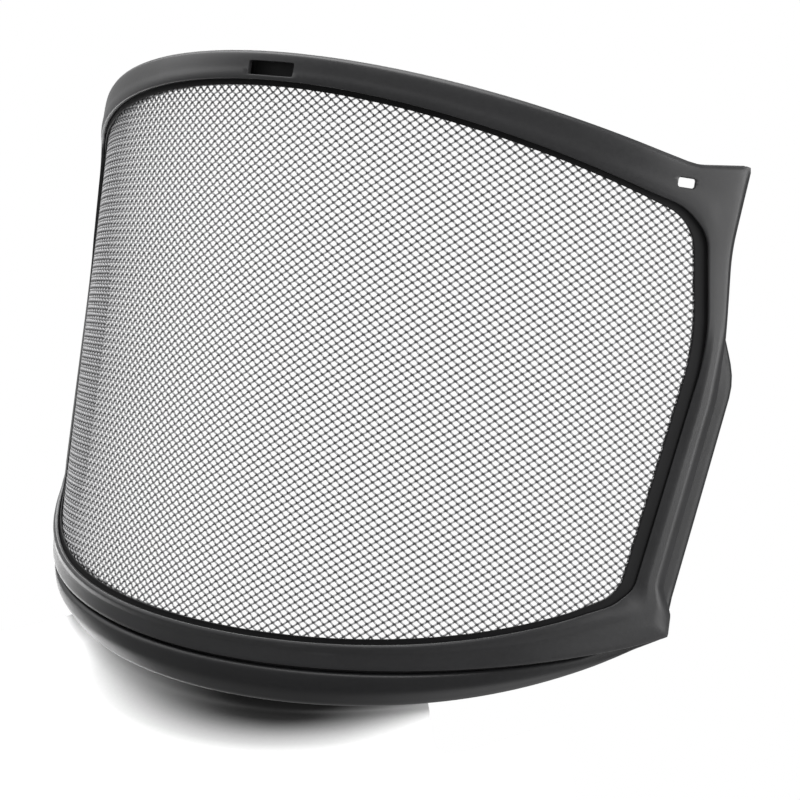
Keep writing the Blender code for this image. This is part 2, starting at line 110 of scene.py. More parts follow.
# layers along n; the middle of the cloth is n = 0
GAP, SHEET_T, STRIP_T, BEZEL_T, BACK_T = 0.3, 0.6, 0.5, 1.2, 1.3
STRIP_REAR = SHEET_T / 2 + GAP
STRIP_FRONT = STRIP_REAR + STRIP_T
BEZEL_REAR = STRIP_FRONT + GAP
BEZEL_FRONT = BEZEL_REAR + BEZEL_T
BACK_FRONT = -STRIP_REAR
BACK_N = BACK_FRONT - BACK_T / 2
BACK_REAR = BACK_FRONT - BACK_T
BEZEL_EDGE_REAR = BACK_FRONT + GAP + 0.1     # the bezel's outer edge reaches back to here
SEAT_N = -4.4                                # rear face of the seats

# slots and seats: s, t, length, height
BROW_SLOT = (0.0, 104.6, 16.8, 3.9)
EAR_SLOT = (121.5, 88.1, 4.6, 2.6)
BROW_SEAT = (0.0, 104.5, 27.0, 7.0)
EAR_SEAT = (121.5, 88.2, 17.0, 7.2)

PIN_D, PIN_HEAD_D, PIN_HEAD_T, PIN_HOLE_D = 2.2, 5.4, 1.0, 2.8
PINS_BROW, PINS_BROW_IN = (24.0, 58.0, 92.0), 4.7
PINS_CHIN, PINS_CHIN_IN = (16.0, 50.0, 84.0), 4.1
PIN_EAR, PIN_JAW = (132.9, 71.0), (127.3, -27.4)

# stations round the right half, leg by leg from the middle of the brow to the middle of
# the chin, and the station at the end of each leg
COUNTS = (11, 3, 4, 4, 6, 4, 3, 10)
AT_EAR, _, AT_TEMPLE, AT_KNEE, AT_CURL, AT_JAW, AT_CHIN, LAST = np.cumsum(COUNTS).tolist()
FINE = 4                                     # mesh sections for each station
HALF = LAST * FINE + 1
STATION = np.arange(HALF) / FINE


# =====================================================================================
# Flat outlines of the right half, as (s, t)
# =====================================================================================
def edge_t(edge, s):
    a, b, c = edge
    return a + b * s * s + c * s ** 4


def rounded(points, steps=36):
    """Replaces each corner that has a radius with a quadratic curve."""
    path = []
    for i, point in enumerate(points):
        corner = np.array(point[:2], float)
        radius = point[2] if len(point) > 2 else 0.0
        if radius <= 0.0 or i == 0 or i == len(points) - 1:
            path.append(corner)
            continue
        before = np.array(points[i - 1][:2], float) - corner
        after = np.array(points[i + 1][:2], float) - corner
        len_before, len_after = np.linalg.norm(before), np.linalg.norm(after)
        before, after = before / len_before, after / len_after
        half_angle = 0.5 * math.acos(max(-1.0, min(1.0, float(before @ after))))
        setback = min(radius / math.tan(half_angle), 0.48 * len_before, 0.48 * len_after)
        start, end = corner + before * setback, corner + after * setback
        for k in range(steps + 1):
            u = k / steps
            path.append((1 - u) ** 2 * start + 2 * u * (1 - u) * corner + u * u * end)
    return np.array(path)


def resample(path, marks):
    """Even sections on each leg; the legs end at the path's points nearest the marks."""
    steps = np.linalg.norm(np.diff(path, axis=0), axis=1)
    length = np.concatenate([[0.0], np.cumsum(steps)])
    cuts = [0.0]
    for mark in marks:
        cuts.append(length[int(np.argmin(np.linalg.norm(path - np.array(mark[:2]), axis=1)))])
    cuts.append(length[-1])
    at = []
    for start, end, count in zip(cuts[:-1], cuts[1:], COUNTS):
        count *= FINE
        at += [start + (end - start) * k / count for k in range(count)]
    at.append(length[-1])
    return np.stack([np.interp(at, length, path[:, 0]), np.interp(at, length, path[:, 1])], 1)


def half_outline(top, bottom, s_top, s_bottom, corners, marks):
    path = [(s, edge_t(top, s)) for s in np.linspace(0.0, s_top, 140)]
    path += list(corners)
    path += [(s, edge_t(bottom, s)) for s in np.linspace(s_bottom, 0.0, 140)]
    return resample(rounded(path), marks)


def grow(outline, width):
    """Moves an outline outwards by a width, or by one width for each section."""
    along = np.empty_like(outline)
    along[1:-1] = outline[2:] - outline[:-2]
    along[0], along[-1] = (1.0, 0.0), (-1.0, 0.0)
    along /= np.linalg.norm(along, axis=1)[:, None]
    normals = np.stack([-along[:, 1], along[:, 0]], 1)
    return outline + normals * np.reshape(width, (-1, 1))


def ramp(x, start, end):
    x = np.clip((np.asarray(x, float) - start) / (end - start), 0.0, 1.0)
    return x * x * (3 - 2 * x)


# 1 along the side, 0 along the brow and the chin
SIDE_SHARE = np.minimum(ramp(STATION, AT_EAR - 0.5, AT_TEMPLE - 0.5),
                        ramp(-STATION, -AT_CHIN - 0.5, -AT_CURL - 0.5))
LEDGE = LEDGE_TOP + (LEDGE_SIDE - LEDGE_TOP) * SIDE_SHARE

OPENING = half_outline(
    OPEN_TOP, OPEN_BOTTOM, 109.0, 108.0,
    corners=(OPEN_UP_CORNER, OPEN_KNEE, OPEN_LOW_CORNER),
    marks=((110.0, edge_t(OPEN_TOP, 110.0)), OPEN_UP_CORNER, (126.6, 66.0), OPEN_KNEE,
           (121.6, -11.0), OPEN_LOW_CORNER, (109.5, edge_t(OPEN_BOTTOM, 109.5))))
BEZEL_OUT = half_outline(
    BROW, CREASE, 114.0, 125.0,
    corners=(EAR_ROOT, EAR_TIP, TEMPLE, BEZEL_KNEE, SHOULDER, CURL, CURL_END, JAW_TIP),
    marks=(EAR_ROOT, EAR_TIP, TEMPLE, BEZEL_KNEE, CURL, JAW_TIP,
           (121.0, edge_t(CREASE, 121.0))))
BEZEL_IN = grow(OPENING, LEDGE)
STRIP_OUT = grow(OPENING, LEDGE + STRIP_TUCK)
SHEET_OUT = grow(OPENING, LEDGE + STRIP_TUCK - SHEET_TUCK)
BACK_IN = grow(OPENING, 0.7)


def back_outer():
    """Hidden just inside the bezel above the knee, and on its own line below it."""
    low = half_outline(
        BROW, CHIN, 114.0, 127.0,
        corners=(EAR_ROOT, EAR_TIP, TEMPLE, FLANK_TOP, FLANK_MAX, FLANK_LOW, FLANK_END,
                 JAW_TIP),
        marks=(EAR_ROOT, EAR_TIP, TEMPLE, FLANK_TOP, FLANK_LOW, JAW_TIP,
               (122.0, edge_t(CHIN, 122.0))))
    hidden = grow(BEZEL_OUT, -0.35)
    low_share = np.clip(STATION - (AT_KNEE - 1.0), 0.0, 1.0)[:, None]
    return hidden * (1 - low_share) + low * low_share


BACK_OUT = back_outer()
SHOWING = np.linalg.norm(BACK_OUT - BEZEL_OUT, axis=1)
LIP_SHARE = ramp(STATION, AT_JAW, AT_JAW + 1.0) * ramp(SHOWING, 1.2, 4.2)
INSET = BROW_INSET + (FLANK_INSET - BROW_INSET) * ramp(STATION, AT_KNEE - 1.5, AT_KNEE + 0.5)
# the line where the shell's flat part meets its flank or its lip
BACK_FOLD = grow(BEZEL_OUT, -INSET * (1 - LIP_SHARE) + LIP_CLEAR * LIP_SHARE)


# =====================================================================================
# The bent surface
# =====================================================================================
def curvature(s):
    z = s / CURV_SPAN
    x = min(max((s - TEMPLE_FROM) / TEMPLE_SPAN, 0.0), 1.0)
    return ((CURV_MID + CURV_RISE * z * z + CURV_RISE4 * z ** 4)
            * (1.0 - TEMPLE_EASE * x * x * (3.0 - 2.0 * x)))


def bend_table():
    """Arc lengths along t = 0, and the rotation that the sheet has reached at each."""
    table = {0: np.eye(3)}
    for sign in (1, -1):
        turned = np.eye(3)
        for i in range(int(BEND_REACH / BEND_STEP)):
            bend = curvature((i + 0.5) * BEND_STEP)
            turn = Vector((bend, 0.0, 1.0 / APEX)) * (BEND_STEP * sign)
            turned = turned @ np.array(Matrix.Rotation(turn.length, 3, turn.normalized()))
            table[sign * (i + 1)] = turned
    keys = sorted(table)
    return np.array([k * BEND_STEP for k in keys]), np.array([table[k] for k in keys])


ARC, TURN = bend_table()


def axes_at(s, t):
    """Ruling, crossing and inward unit vectors, distance from the apex, ruling angle."""
    s, t = np.broadcast_arrays(np.asarray(s, float), np.asarray(t, float))
    radius, angle = np.hypot(s, APEX + t), np.arctan2(s, APEX + t)
    x = (angle * APEX - ARC[0]) / (ARC[1] - ARC[0])
    j = np.clip(x.astype(int), 0, len(ARC) - 2)
    share = (x - j)[..., None, None]
    axes = TURN[j] * (1 - share) + TURN[j + 1] * share
    axes = axes / np.linalg.norm(axes, axis=-2, keepdims=True)
    axes = axes[..., [1, 2, 0], :]
    return axes[..., 0], axes[..., 1], axes[..., 2], radius, angle


def point_from_apex(s, t, n):
    ruling, _, inward, radius, _ = axes_at(s, t)
    point = ruling * radius[..., None] - inward * np.asarray(n, float)[..., None]
    point[..., 2] -= APEX
    return point


# the middle of the brow seat's rear face
ORIGIN = point_from_apex(np.array(0.0), np.array(BROW_SEAT[1]), np.array(SEAT_N))


def unshifted(s, t, n):
    s, t, n = np.broadcast_arrays(*(np.asarray(value, float) for value in (s, t, n)))
    return (point_from_apex(s, t, n) - ORIGIN) * MM


def surface_shift():
    """Offset that centres the surface's edge strip on the box of the CAD's edge strip."""
    points = np.concatenate([unshifted(outline[:, 0] * side, outline[:, 1], n)
                             for outline in (OPENING, STRIP_OUT) for side in SIDES
                             for n in (STRIP_REAR, STRIP_FRONT)])
    lo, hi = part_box("edge_strip")
    return 0.5 * (np.array(lo) + np.array(hi)) - 0.5 * (points.min(0) + points.max(0))


SHIFT = surface_shift()


def place(s, t, n):
    """World position, in metres, of (s, t, n)."""
    return unshifted(s, t, n) + SHIFT


def local_frame(s, t):
    """Matrix at n = 0 whose X runs along s, Y along t and Z out of the surface."""
    ruling, crossing, inward, _, angle = axes_at(float(s), float(t))
    x_axis = Vector(ruling * math.sin(angle) + crossing * math.cos(angle)).normalized()
    z_axis = -Vector(inward)
    frame = Matrix((x_axis, z_axis.cross(x_axis), z_axis)).transposed().to_4x4()
    frame.translation = Vector(place(s, t, 0.0))
    return frame


# =====================================================================================
# Materials
# =====================================================================================
class Nodes:
    """Short ways to add nodes to a tree.  An input takes a socket or a plain value."""

    def __init__(self, tree):
        self.tree = tree

    def feed(self, node, inputs):
        for key, value in inputs.items():
            if hasattr(value, "node"):
                self.tree.links.new(value, node.inputs[key])
            else:
                node.inputs[key].default_value = value

    def add(self, kind, inputs=None, **props):
        node = self.tree.nodes.new("ShaderNode" + kind)
        for key, value in props.items():
            setattr(node, key, value)
        self.feed(node, inputs or {})
        return node

    def coords(self, kind="Object"):
        return self.add("TexCoord").outputs[kind]

    def attribute(self, name):
        return self.add("Attribute", attribute_name=name).outputs["Fac"]

    def noise(self, coords, scale, detail, roughness):
        return self.add("TexNoise", {"Scale": scale, "Detail": detail, "Roughness": roughness,
                                     "Vector": coords}).outputs["Fac"]

    def remap(self, value, to, span=(0.3, 0.7)):
        """Clamped remap from span, by default the range most noise falls in."""
        return self.add("MapRange", {"From Min": span[0], "From Max": span[1],
                                     "To Min": to[0], "To Max": to[1],
                                     "Value": value}).outputs["Result"]

    def math(self, operation, a, b=0.0):
        return self.add("Math", {0: a, 1: b}, operation=operation).outputs[0]

    def dot(self, vector, axis):
        return self.add("VectorMath", {0: vector, 1: axis},
                        operation='DOT_PRODUCT').outputs["Value"]

    def mix(self, factor, first, second):
        first, second = (colour if hasattr(colour, "node") else (*colour, 1.0)
                         for colour in (first, second))
        return self.add("Mix", {6: first, 7: second, 0: factor}, data_type='RGBA').outputs[2]

    def brighten(self, colour, factor):
        return self.add("VectorMath", {0: colour, "Scale": factor},
                        operation='SCALE').outputs[0]

    def bump(self, height, strength, distance):
        return self.add("Bump", {"Strength": strength, "Distance": distance,
                                 "Height": height}).outputs["Normal"]


def new_material(name):
    material = bpy.data.materials.new(name)
    material.use_nodes = True
    tree = material.node_tree
    return material, Nodes(tree), tree.nodes["Principled BSDF"]


def scaled(colour, factor):
    return tuple(c * factor for c in colour)


def moulded_plastic(name, colour, roughness, edge_wear=1.0, specular=0.5):
    """Black moulded nylon: a fine spark-eroded grain, slow flow marks from the moulding,
    faint handling haze in the roughness, and edges rubbed a little paler."""
    material, nodes, shader = new_material(name)
    coords = nodes.coords()
    fine = nodes.noise(coords, scale=5200.0, detail=2.0, roughness=0.6)
    grain = nodes.noise(coords, scale=900.0, detail=3.0, roughness=0.6)
    squeezed = nodes.add("Mapping", {"Scale": (1.0, 1.0, 3.2), "Vector": coords})
    flow = nodes.noise(squeezed.outputs["Vector"], scale=26.0, detail=4.0, roughness=0.55)
    haze = nodes.noise(coords, scale=11.0, detail=5.0, roughness=0.62)

    tone = nodes.math('MULTIPLY', nodes.remap(flow, to=(0.9, 1.12)),
                      nodes.remap(grain, to=(0.93, 1.08)))
    pointiness = nodes.add("NewGeometry").outputs["Pointiness"]
    rubbed = nodes.remap(pointiness, span=(0.515, 0.60), to=(0.0, 0.55 * edge_wear))
    rubbed = nodes.math('MULTIPLY', rubbed, nodes.remap(haze, span=(0.35, 0.65), to=(0.3, 1.0)))
    tinted = nodes.brighten(nodes.mix(rubbed, colour, scaled(colour, 1.9)), tone)
    rough = nodes.math('ADD', nodes.remap(haze, to=(roughness - 0.045, roughness + 0.05)),
                       nodes.remap(grain, to=(-0.02, 0.02)))
    fine_weight, grain_weight, flow_weight = 0.55, 0.6, 2.0
    height = nodes.math('ADD', nodes.math('MULTIPLY', fine, fine_weight),
                        nodes.math('MULTIPLY', grain, grain_weight))
    height = nodes.math('ADD', height, nodes.math('MULTIPLY', flow, flow_weight))
    nodes.feed(shader, {"Base Color": tinted, "Roughness": rough,
                        "Specular IOR Level": specular,
                        "Normal": nodes.bump(height, strength=0.35, distance=0.00005)})
    return material


def paint_slot_shade(material):
    """Painted shade behind the brow slot: the shell's face there is coloured darker and given
    less specular than the rest of it, standing in for the shade inside the slot.
    """
    reach = {"X": 0.0086, "Z": 0.0022}       # half sizes of the painted shade patch
    soft_edge = 0.0003
    colour, specular, shade_specular = (0.0085, 0.0085, 0.0088), 0.38, 0.20
    centre = Vector(place(0.0, BROW_SLOT[1], BACK_FRONT))
    nodes = Nodes(material.node_tree)
    shader = material.node_tree.nodes["Principled BSDF"]
    split = nodes.add("SeparateXYZ", {0: nodes.coords()})
    slot_shade_masks = []
    for axis, middle in (("X", centre.x), ("Z", centre.z)):
        offset = nodes.math('ABSOLUTE', nodes.math('SUBTRACT', split.outputs[axis], middle))
        slot_shade_masks.append(nodes.remap(offset, span=(reach[axis], reach[axis] + soft_edge),
                                 to=(1.0, 0.0)))
    slot_shade_mask = nodes.math('MULTIPLY', *slot_shade_masks)
    shell_colour = shader.inputs["Base Color"].links[0].from_socket
    nodes.feed(shader, {
        "Base Color": nodes.mix(slot_shade_mask, shell_colour, colour),
        "Specular IOR Level": nodes.remap(slot_shade_mask, span=(0.0, 1.0),
                                          to=(specular, shade_specular))})


def coated_wire(name, colour):
    """Steel wire under a thin dark coating, a little rubbed on the crowns of its crimps."""
    material, nodes, shader = new_material(name)
    coords = nodes.coords()
    pits = nodes.noise(coords, scale=3800.0, detail=2.0, roughness=0.6)
    patches = nodes.noise(coords, scale=60.0, detail=3.0, roughness=0.55)
    wear = nodes.math('MULTIPLY',
                      nodes.remap(nodes.attribute("crown"), span=(0.55, 1.0), to=(0.0, 0.35)),
                      nodes.remap(patches, span=(0.35, 0.65), to=(0.3, 1.0)))
    worn = nodes.mix(wear, colour, scaled(colour, 1.3))
    # painted shade where two wires meet, at the half pitches of a run: the wire's colour is
    # darkened there
    crossing = 0.5
    away = nodes.math('SUBTRACT', nodes.math('FRACT', nodes.attribute("run")), crossing)
    crossing_shade = nodes.remap(nodes.math('ABSOLUTE', away), span=(0.12, 0.40), to=(1.0, 0.0))
    crossing_shaded = nodes.mix(crossing_shade, worn, scaled(colour, 0.12))
    nodes.feed(shader, {
        "Base Color": nodes.brighten(crossing_shaded, nodes.remap(pits, to=(0.85, 1.15))),
        "Roughness": nodes.remap(pits, to=(0.34, 0.5)),
        "Metallic": 0.2,
        "Normal": nodes.bump(pits, strength=0.3, distance=0.00002)})
    return material


BEZEL_MAT = moulded_plastic("bezel_plastic", colour=(0.0150, 0.0150, 0.0158), roughness=0.40)
BACK_MAT = moulded_plastic("back_plastic", colour=(0.0105, 0.0105, 0.0112), roughness=0.42)
# the strip's colour is partly its own black plastic and partly painted shade: it is darker than
# the bezel to stand for the shade in the recess round the opening
STRIP_MAT = moulded_plastic("strip_plastic", colour=(0.0050, 0.0050, 0.0054), roughness=0.62,
                            edge_wear=0.2, specular=0.18)
# painted shade on the back shell's face behind the brow slot
paint_slot_shade(BACK_MAT)
PIN_MAT = moulded_plastic("pin_plastic", colour=(0.0170, 0.0170, 0.0178), roughness=0.36)
WIRE_MAT = coated_wire("wire_coating", colour=(0.305, 0.305, 0.312))


# =====================================================================================
# Mesh helpers
# =====================================================================================
def new_object(name, mesh):
    ob = bpy.data.objects.new(name, mesh)
    bpy.context.scene.collection.objects.link(ob)
    return ob


def object_from_bmesh(name, bm):
    mesh = bpy.data.meshes.new(name)
    bm.to_mesh(mesh)
    bm.free()
    return new_object(name, mesh)


def shade(mesh, sharp=38.0):
    """Smooth shading, with edges sharper than the angle in degrees kept crisp."""
    mesh.shade_smooth()
    mesh.set_sharp_from_angle(angle=math.radians(sharp))


def quad_object(name, verts, quads, material):
    mesh = bpy.data.meshes.new(name)
    mesh.vertices.add(len(verts))
    mesh.vertices.foreach_set("co", np.asarray(verts, np.float32).ravel())
    quads = np.asarray(quads, np.int32)
    mesh.loops.add(quads.size)
    mesh.loops.foreach_set("vertex_index", quads.ravel())
    mesh.polygons.add(len(quads))
    mesh.polygons.foreach_set("loop_start", np.arange(0, quads.size, 4, dtype=np.int32))
    mesh.update(calc_edges=True)
    mesh.validate()
    ob = new_object(name, mesh)
    mesh.materials.append(material)
    return ob


def closed_band(name, sections, material):
    """Mirrors the right half's closed sections, (HALF, M, 3) of (s, t, n), to a full ring."""
    s, t, n = np.moveaxis(np.asarray(sections), -1, 0)
    ring = np.concatenate([place(s, t, n), place(-s, t, n)[-2:0:-1]])
    here = np.arange(ring.shape[0] * ring.shape[1]).reshape(ring.shape[:2])
    ahead = np.roll(here, -1, 0)
    quads = np.stack([here, ahead, np.roll(ahead, -1, 1), np.roll(here, -1, 1)], -1)
    ob = quad_object(name, ring.reshape(-1, 3), quads.reshape(-1, 4), material)
    shade(ob.data)
    return ob


def pchip(points, x):
    """Monotone cubic through (x, y) points."""
    xs, ys = np.array(points, float).T
    x = np.asarray(x, float)
    step, slope = np.diff(xs), np.diff(ys) / np.diff(xs)
    tangent = np.zeros(len(xs))
    tangent[0], tangent[-1] = slope[0], slope[-1]
    for i in range(1, len(xs) - 1):
        if slope[i - 1] * slope[i] > 0:
            w1, w2 = 2 * step[i] + step[i - 1], step[i] + 2 * step[i - 1]
            tangent[i] = (w1 + w2) / (w1 / slope[i - 1] + w2 / slope[i])
    i = np.clip(np.searchsorted(xs, x, side='right') - 1, 0, len(step) - 1)
    u = np.clip((x - xs[i]) / step[i], 0.0, 1.0)
    return ((2 * u ** 3 - 3 * u ** 2 + 1) * ys[i]
            + (u ** 3 - 2 * u ** 2 + u) * step[i] * tangent[i]
            + (-2 * u ** 3 + 3 * u ** 2) * ys[i + 1]
            + (u ** 3 - u ** 2) * step[i] * tangent[i + 1])


def corner_arc(start, corner, end, steps):
    """Quarter of an ellipse from start to end, tangent to both legs of the corner."""
    start, corner, end = (np.array(point, float) for point in (start, corner, end))
    angle = np.linspace(0.0, 1.0, steps + 1)[:, None] * math.pi / 2
    return corner + (start - corner) * (1 - np.sin(angle)) + (end - corner) * (1 - np.cos(angle))


def bar_section(width, radius, inner, outer, front, rear, steps):
    """Rounded bar as (q, n), with q running outwards from the inner outline.

    inner and outer are the (rear, front) heights of its two edges; front and rear are the
    points between the corners.
    """
    (in_rear, in_front), (out_rear, out_front) = inner, outer
    in_round = min(radius, 0.45 * (in_front - in_rear))
    out_round = min(radius, 0.45 * (out_front - out_rear))
    return np.concatenate([
        corner_arc((radius, in_rear), (0.0, in_rear), (0.0, in_rear + in_round), steps),
        corner_arc((0.0, in_front - in_round), (0.0, in_front), (radius, in_front), steps),
        front,
        corner_arc((width - radius, out_front), (width, out_front),
                   (width, out_front - out_round), steps),
        corner_arc((width, out_rear + out_round), (width, out_rear),
                   (width - radius, out_rear), steps),
        rear])


def section_to_points(inner, outer, section):
    """Turns a (q, n) section between two outline points into (s, t, n)."""
    across = (outer - inner) / np.linalg.norm(outer - inner)
    return np.concatenate([inner + across * section[:, :1], section[:, 1:]], 1)


def cut(ob, tool, operation):
    """Applies a boolean with the tool, then deletes the tool."""
    boolean = ob.modifiers.new("boolean", 'BOOLEAN')
    boolean.operation = operation
    boolean.solver = 'MANIFOLD'
    boolean.object = tool
    bpy.context.view_layer.update()
    depsgraph = bpy.context.evaluated_depsgraph_get()
    mesh = bpy.data.meshes.new_from_object(ob.evaluated_get(depsgraph), depsgraph=depsgraph)
    ob.modifiers.clear()
    old = ob.data
    ob.data = mesh
    bpy.data.meshes.remove(old)
    bpy.data.objects.remove(tool, do_unlink=True)
    material = mesh.materials[0]
    mesh.materials.clear()
    mesh.materials.append(material)
    mesh.polygons.foreach_set("material_index", np.zeros(len(mesh.polygons), np.int32))
    shade(mesh)


def rounded_block(bm, s, t, length, height, radius, levels, steps):
    """A block with rounded long corners, lofted through (n, growth) levels."""
    corners = []
    x, y = length / 2 - radius, height / 2 - radius
    for cx, cy, start in ((x, y, 0), (-x, y, 90), (-x, -y, 180), (x, -y, 270)):
        for k in range(steps + 1):
            angle = math.radians(start + 90 * k / steps)
            corners.append((cx, cy, math.cos(angle), math.sin(angle)))
    frame = local_frame(s, t)
    rows = []
    for n, growth in levels:
        reach = radius + growth
        rows.append([bm.verts.new(frame @ Vector(((cx + reach * cos) * MM,
                                                  (cy + reach * sin) * MM, n * MM)))
                     for cx, cy, cos, sin in corners])
    falling = levels[0][0] > levels[-1][0]   # decides the winding that faces outwards
    for a, b in zip(rows[:-1], rows[1:]):
        for i in range(len(corners)):
            j = (i + 1) % len(corners)
            bm.faces.new((a[i], b[i], b[j], a[j]) if falling else (a[i], a[j], b[j], b[i]))
    bm.faces.new(rows[0] if falling else rows[0][::-1])
    bm.faces.new(rows[-1][::-1] if falling else rows[-1])


def pin_places():
    spots = [(s, edge_t(BROW, s) - PINS_BROW_IN) for s in PINS_BROW] + [PIN_EAR]
    spots += [(s, edge_t(CREASE, s) + PINS_CHIN_IN) for s in PINS_CHIN] + [PIN_JAW]
    return [(side * s, t) for s, t in spots for side in SIDES]


def drill_pin_holes(bm, n_from, n_to):
    for s, t in pin_places():
        middle = local_frame(s, t)
        middle.translation = Vector(place(s, t, 0.5 * (n_from + n_to)))
        bmesh.ops.create_cone(bm, cap_ends=True, segments=28, radius1=PIN_HOLE_D * MM / 2,
                              radius2=PIN_HOLE_D * MM / 2, depth=(n_to - n_from) * MM,
                              matrix=middle)


# =====================================================================================
# Front bezel
# =====================================================================================
EDGE_R = 0.32
SLOT_MOUTH = 2.62                            # n at which a slot's flare is fully open
CUTTER_FRONT = 6.0

# front face profiles: share of the width from the inner edge, height over BEZEL_FRONT
FACE_BROW = ((0.0, -0.08), (0.08, 0.16), (0.20, 0.24), (0.42, 0.04), (0.70, -0.10),
             (0.88, -0.34), (1.0, -0.95))
FACE_CHIN = ((0.0, -0.25), (0.07, 0.16), (0.15, 0.26), (0.25, 0.04), (0.38, -0.30),
             (0.62, -0.40), (0.88, -0.52), (1.0, -0.80))
FACE_SIDE = ((0.0, -0.04), (0.07, 0.05), (0.25, 0.06), (0.60, 0.02), (0.84, -0.06),
             (0.94, -0.40), (1.0, -1.00))
FACE_LOW_SIDE = ((0.0, -0.80), (0.14, -0.42), (0.28, -0.10), (0.38, 0.0), (0.62, 0.0),
                 (0.68, -0.08), (0.96, -1.22), (1.0, -1.50))


def bezel_sections():
    sections = []
    low_shares = ramp(STATION, 20.8, 24.2)
    for inner, outer, station, side_share, low in zip(BEZEL_IN, BEZEL_OUT, STATION,
                                                      SIDE_SHARE, low_shares):
        width = float(np.linalg.norm(outer - inner))
        radius = min(EDGE_R, width * 0.12)
        across = np.linspace(radius / width, 1 - radius / width, 34)
        flat = pchip(FACE_BROW if station < AT_KNEE else FACE_CHIN, across)
        side = (1 - low) * pchip(FACE_SIDE, across) + low * pchip(FACE_LOW_SIDE, across)
        front = BEZEL_FRONT + (1 - side_share) * flat + side_share * side
        # the rear face drops at the outer edge and leaves the bar 0.5 thick at least
        rear = BEZEL_REAR + (BEZEL_EDGE_REAR - BEZEL_REAR) * ramp(across, 0.8, 1.0)
        rear = np.minimum(rear, front - 0.5)
        rear = np.where(across < 0.5, np.maximum(rear, BEZEL_REAR), rear)
        q = across * width
        section = bar_section(
            width, radius, inner=(rear[0], front[0]), outer=(rear[-1], front[-1]),
            front=np.column_stack([q, front])[1:-1],
            rear=np.column_stack([q, rear])[-2:0:-3], steps=4)
        sections.append(section_to_points(inner, outer, section))
    return sections


def flared_slot(bm, s, slot, n_from, radius, flare):
    levels = ((n_from, 0.0), (SLOT_MOUTH - flare, 0.0),
              (SLOT_MOUTH - 0.3 * flare, 0.3 * flare), (SLOT_MOUTH, flare),
              (CUTTER_FRONT, flare * 1.6))
    rounded_block(bm, s, *slot[1:], radius, levels, steps=4)


def build_bezel():
    ob = closed_band("bezel", bezel_sections(), BEZEL_MAT)
    bm = bmesh.new()
    flared_slot(bm, BROW_SLOT[0], BROW_SLOT, n_from=-0.2, radius=0.6, flare=0.35)
    for side in SIDES:
        flared_slot(bm, side * EAR_SLOT[0], EAR_SLOT, n_from=-0.6, radius=0.7, flare=0.3)
    drill_pin_holes(bm, -1.5, BEZEL_REAR + 0.75)
    cut(ob, object_from_bmesh("bezel_tool", bm), 'DIFFERENCE')
    return ob


# =====================================================================================
# Back frame
# =====================================================================================
# chin lip: share of its width from the fold, share of its full rise
LIP_PROFILE = ((0.0, 0.0), (0.04, 0.78), (0.14, 1.0), (0.50, 0.78), (0.79, 0.02), (1.0, -0.90))


def half_round(centre, across, ahead):
    """Points of a blunt round end, from the across side to the opposite one."""
    angle = np.linspace(0.0, math.pi, 8)[1:-1, None]
    return centre + across * np.cos(angle) + ahead * (0.75 * np.sin(angle))


def back_sections():
    """A sheet of even thickness round a middle line, with a bead along its outer edge."""
    sections = []
    flank_shares = (ramp(STATION, AT_KNEE - 1.0, AT_KNEE + 1.5)
                    * (1 - ramp(STATION, AT_JAW - 1.0, AT_JAW + 1.0)))
    past_fold = np.concatenate([np.linspace(0.0, 0.12, 7), np.linspace(0.16, 1.0, 17)])
    to_fold = np.linspace(0.0, 0.97, 9)
    for inner, fold, outer, flank, lip in zip(BACK_IN, BACK_FOLD, BACK_OUT,
                                              flank_shares, LIP_SHARE):
        width = float(np.linalg.norm(outer - fold))
        rise = lip * LIP_OUT * min(width / 7.5, 1.0) * pchip(LIP_PROFILE, past_fold)
        fall = flank * FLANK_BACK * min(width / 5.0, 1.0) * past_fold
        flat = np.concatenate([inner + (fold - inner) * to_fold[:, None],
                               fold + (outer - fold) * past_fold[:, None]])
        n = np.concatenate([np.full(len(to_fold), BACK_N), BACK_N + rise - fall])
        steps = np.linalg.norm(np.diff(flat, axis=0), axis=1)
        q = np.concatenate([[0.0], np.cumsum(steps)])
        heading = np.concatenate([flat[1:2] - flat[:1], flat[2:] - flat[:-2],
                                  flat[-1:] - flat[-2:-1]])
        heading /= np.linalg.norm(heading, axis=1)[:, None]
        # unit tangent and normal of the middle line
        dq, dn = np.gradient(q), np.gradient(n)
        slant = np.hypot(dq, dn)
        dq, dn = dq / slant, dn / slant
        tangent = np.column_stack([heading * dq[:, None], dn])
        normal = np.column_stack([-heading * dn[:, None], dq])
        bead = (0.10 + 0.10 * lip) * np.exp(-((q[-1] - q - 0.45) / 0.55) ** 2)
        half = (BACK_T / 2 + bead)[:, None]
        middle = np.column_stack([flat, n])
        across, ahead = normal * half, tangent * half
        sections.append(np.concatenate([
            middle + across, half_round(middle[-1], across[-1], ahead[-1]),
            (middle - across)[::-1], half_round(middle[0], across[0], -ahead[0])[::-1]]))
    return sections


def seat_blocks():
    """Blocks behind the brow and both ears, with a small foot and a softened rear edge."""
    levels = ((BACK_N + 0.2, 0.25), (BACK_REAR - 0.02, 0.25), (BACK_REAR - 0.25, 0.0),
              (SEAT_N + 0.35, 0.0), (SEAT_N + 0.10, -0.10), (SEAT_N, -0.35))
    bm = bmesh.new()
    rounded_block(bm, *BROW_SEAT, 1.0, levels, steps=6)
    for side in SIDES:
        rounded_block(bm, side * EAR_SEAT[0], *EAR_SEAT[1:], 1.0, levels, steps=6)
    return bm


def build_back():
    ob = closed_band("back_shell", back_sections(), BACK_MAT)
    cut(ob, object_from_bmesh("seat_tool", seat_blocks()), 'UNION')
    s, t, length, height = EAR_SLOT
    bm = bmesh.new()
    for side in SIDES:
        rounded_block(bm, side * (s + 1.0), t, length + 2.0, height + 0.3, 0.7,
                      levels=((-8.0, 0.0), (1.0, 0.0)), steps=4)
    drill_pin_holes(bm, -6.0, 1.0)
    cut(ob, object_from_bmesh("back_tool", bm), 'DIFFERENCE')
    return ob


